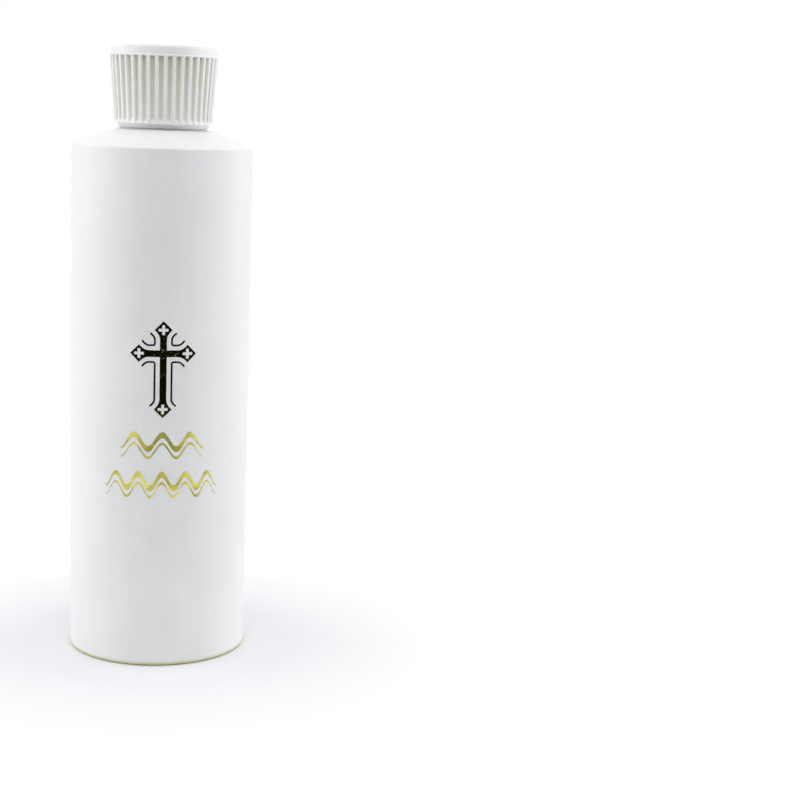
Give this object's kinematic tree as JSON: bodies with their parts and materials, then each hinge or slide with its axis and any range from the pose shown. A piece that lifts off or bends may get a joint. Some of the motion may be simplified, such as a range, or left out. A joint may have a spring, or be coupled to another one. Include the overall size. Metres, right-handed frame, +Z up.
{
  "type": "flip-spout squeeze bottle",
  "caption": "Round white squeeze bottle for water, with a ribbed screw cap, a fold-away spout in the cap's top and a gold foil cross over wave lines on its front.",
  "frame": {"origin": "centre of the bottle's base, on the surface that it stands on", "axes": "+Z up along the bottle's axis, -Y towards the printed front, +Y the way the folded spout points"},
  "size_m": [0.0508, 0.0509, 0.1732],
  "materials": {
    "bottle_plastic": "satin blow-moulded polyethylene, slightly translucent",
    "cap_plastic": "smooth moulded polypropylene",
    "washer_foam": "soft foamed sheet",
    "gold_foil": "mirror-bright hot-stamped foil"
  },
  "bodies": {
    "bottle": {"bottle_body": "bottle_plastic", "foil_cross": "gold_foil", "foil_contour": "gold_foil", "foil_wave_upper": "gold_foil", "foil_wave_lower": "gold_foil"},
    "washer": {"cap_liner": "washer_foam"},
    "cap": {"cap_shell": "cap_plastic"},
    "spout": {"flip_spout": "cap_plastic"}
  },
  "joints": [
    {"name": "cap_lift", "type": "slide", "parent": "bottle", "child": "washer", "axis": [0, 0, 1], "range_m": [0, 0.00476]},
    {"name": "cap_turn", "type": "hinge", "parent": "washer", "child": "cap", "pos_m": [0, 0, 0.16], "axis": [0, 0, 1], "range_deg": [0, 540]},
    {"name": "spout_flip", "type": "hinge", "parent": "cap", "child": "spout", "pos_m": [0, 0, 0.17077], "axis": [1, 0, 0], "range_deg": [0, 90]}
  ],
  "couplings": [
    {"joint": "cap_lift", "follows": "cap_turn", "m_per_rad": 0.00050532}
  ]
}
